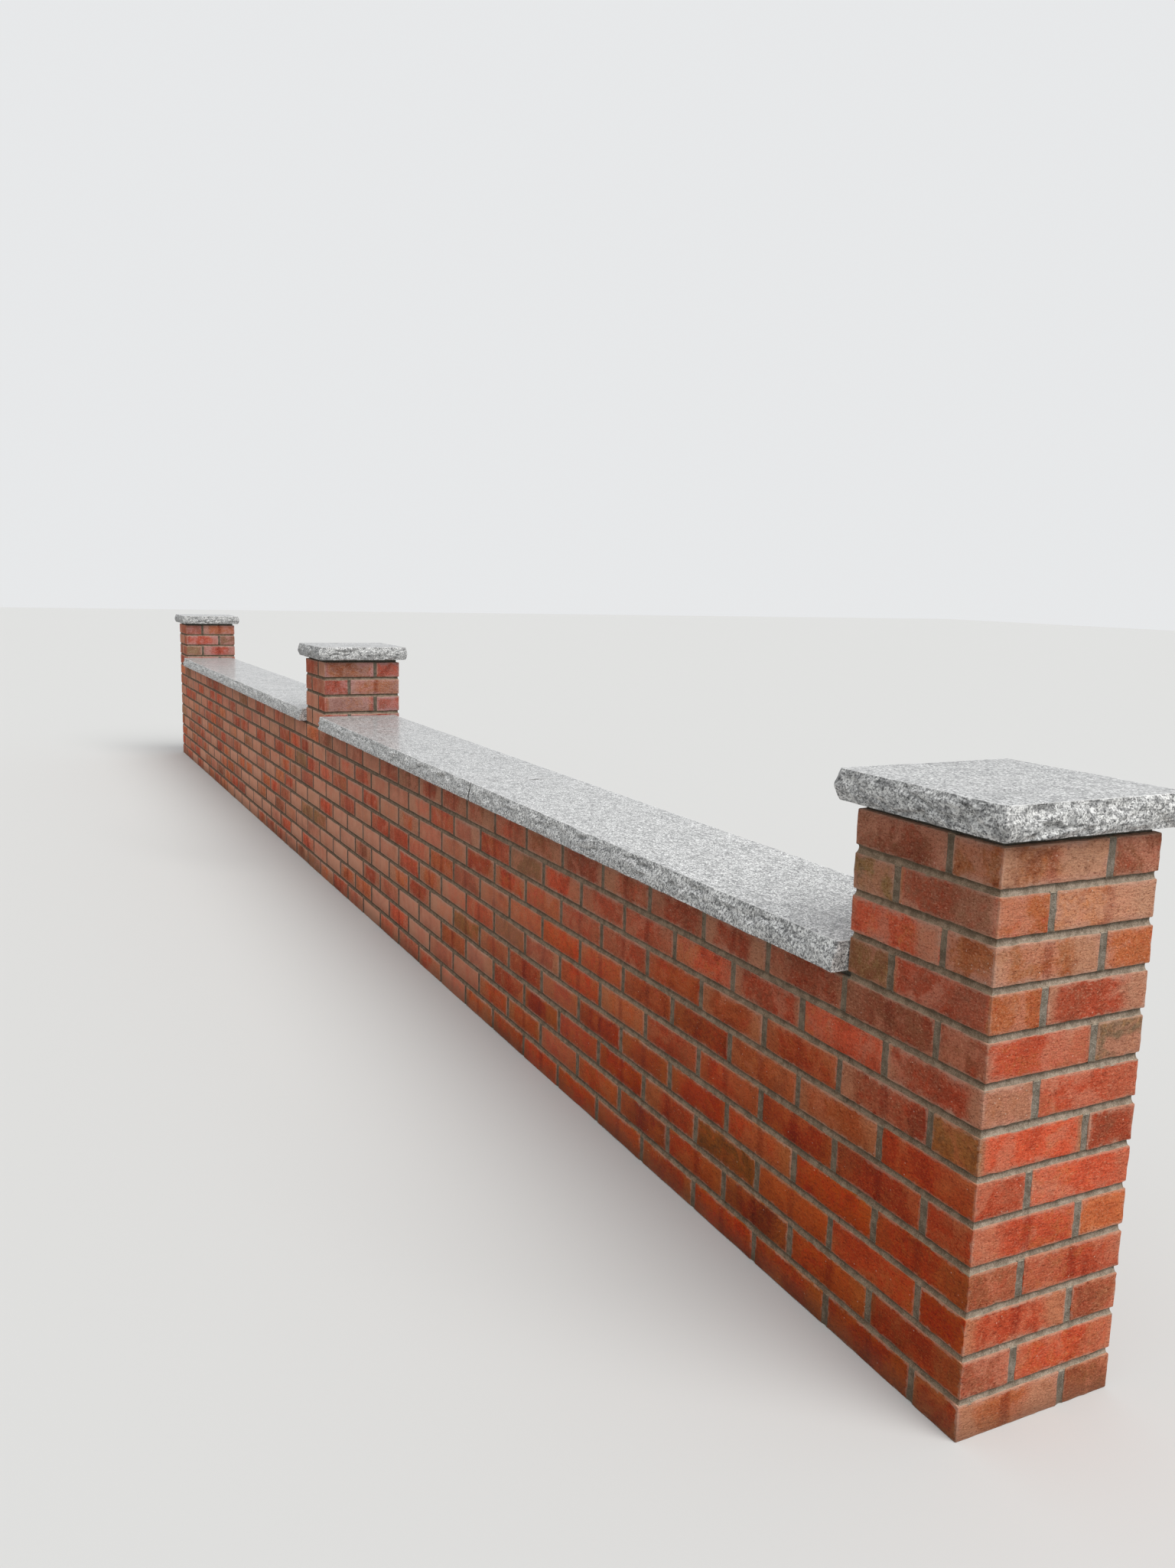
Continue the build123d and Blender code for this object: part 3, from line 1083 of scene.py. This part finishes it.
for name in bay_names:
    cell = 0.0040 if name == "near_bay" else 0.0050
    for which, butted in (("near", "far"), ("far", "near")):
        node = f"{name}_coping_{which}_stone"
        stone_name = f"{name}_{which}_coping_stone"
        pitch_stone(node, stone_name, cell, False, 0.006, *coping_strike, (coping_top, coping_side), butted)
for name in pier_names:
    cell = 0.0020 if name == "near_pier" else 0.0034
    finishes = (cap_top, cap_side)
    pitch_stone(name + "_cap", name + "_capstone", cell, True, 0.005, *cap_strike, finishes)

# Joints between the coping stones
# Dark mortar fills the gap between the two stones of each bay. It is pointed nearly flush, so it
# follows the struck faces a hair behind them, and spreads a little over their sharp corners.
joint_mortar = make_mortar("joint_mortar", (0.050, 0.049, 0.046), (0.090, 0.088, 0.084))
joint_rows = 10
spread = 0.0034
behind_face = 0.0010
below_top = 0.0012
for name in bay_names:
    low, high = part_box(name + "_coping_joint")
    stone_low, stone_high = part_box(name + "_coping_near_stone")
    foot = Vector((low.x - spread, stone_low.y + behind_face, low.z))
    head = Vector((high.x + spread, stone_high.y - behind_face, stone_high.z - below_top))
    filling = start_block(name + "_coping_joint_mortar", foot, head)
    bpy.ops.object.mode_set(mode="EDIT")
    for axis, cuts in enumerate((1, 60, joint_rows - 1)):
        share_edges(filling, axis, cuts)
    half = (head.y - foot.y) / 2
    for row in range(joint_rows + 1):
        level = foot.z + (head.z - foot.z) * row / joint_rows
        share = (level - stone_low.z) / (stone_high.z - stone_low.z)
        scale = 1 - struck_back(share, *coping_strike) / half
        pick(filling, "VERT", lambda spot: meets(spot[0].z, level))
        bpy.ops.transform.resize(value=(1, scale, 1), center_override=(0, (foot.y + head.y) / 2, level))
    bpy.ops.object.mode_set(mode="OBJECT")
    roughen(filling, "CLOUDS", 0.016, 0.0006, level=1.0, noise_depth=2)
    smooth_to(filling, 40)
    finish_with(filling, joint_mortar)
    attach(filling, "root")
    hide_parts(name + "_coping_joint")

# Floor, light and camera
# A pale floor that keeps the shadow, an even overcast sky, and a wide soft sun from beyond the near
# end. The camera stands where the photograph was taken, on the street side of the near pier.
deselect_all()
bpy.ops.mesh.primitive_plane_add(size=80, location=(0, 0, 0))
floor = bpy.context.object
floor.name = "floor"


def seen(finish):
    """1 for a ray from the camera or off a glossy or clear surface, 0 for one that carries light."""
    rays = add_node(finish, "LightPath", {}).outputs
    direct = reckon(finish, "MAXIMUM", rays["Is Camera Ray"], rays["Is Glossy Ray"])
    return reckon(finish, "MAXIMUM", direct, rays["Is Transmission Ray"])


pale, pale_shader = new_finish("pale_floor")
pale_shader.inputs["Roughness"].default_value = 0.95
pale_shader.inputs["Specular IOR Level"].default_value = 0.1
floor_colour = tint(pale, (0.44, 0.43, 0.41, 1), (0.62, 0.62, 0.61), seen(pale))
pale.node_tree.links.new(floor_colour, pale_shader.inputs["Base Color"])
finish_with(floor, pale)

world = bpy.data.worlds.new("overcast")
bpy.context.scene.world = world
world.use_nodes = True
sky = world.node_tree.nodes["Background"]
sky_colour = tint(world, (0.515, 0.53, 0.55, 1), (0.80, 0.81, 0.82), seen(world))
world.node_tree.links.new(sky_colour, sky.inputs["Color"])
sky.inputs["Strength"].default_value = 1.0

bpy.ops.object.light_add(type="SUN", location=(4, 0, 5))
sun = bpy.context.object
sun.data.energy = 0.88 * math.pi
sun.data.angle = math.radians(50)
sun.data.color = (1.0, 0.985, 0.96)
sun.rotation_mode = "QUATERNION"
sun.rotation_quaternion = Vector((0.60, 0.12, 0.79)).to_track_quat("Z", "Y")

# The focal length was measured in the photo's pixels, and its longer side fills the sensor.
focal_length = 1590.548
longer_side = 2049
bpy.ops.object.camera_add(location=(5.01734, -1.37913, 1.23493))
camera = bpy.context.object
camera.rotation_euler = [math.radians(angle) for angle in (80.660893, -1.396870, 63.770722)]
camera.data.sensor_width = 36
camera.data.lens = focal_length / longer_side * camera.data.sensor_width
bpy.context.scene.camera = camera
bpy.context.scene.view_settings.view_transform = "Standard"
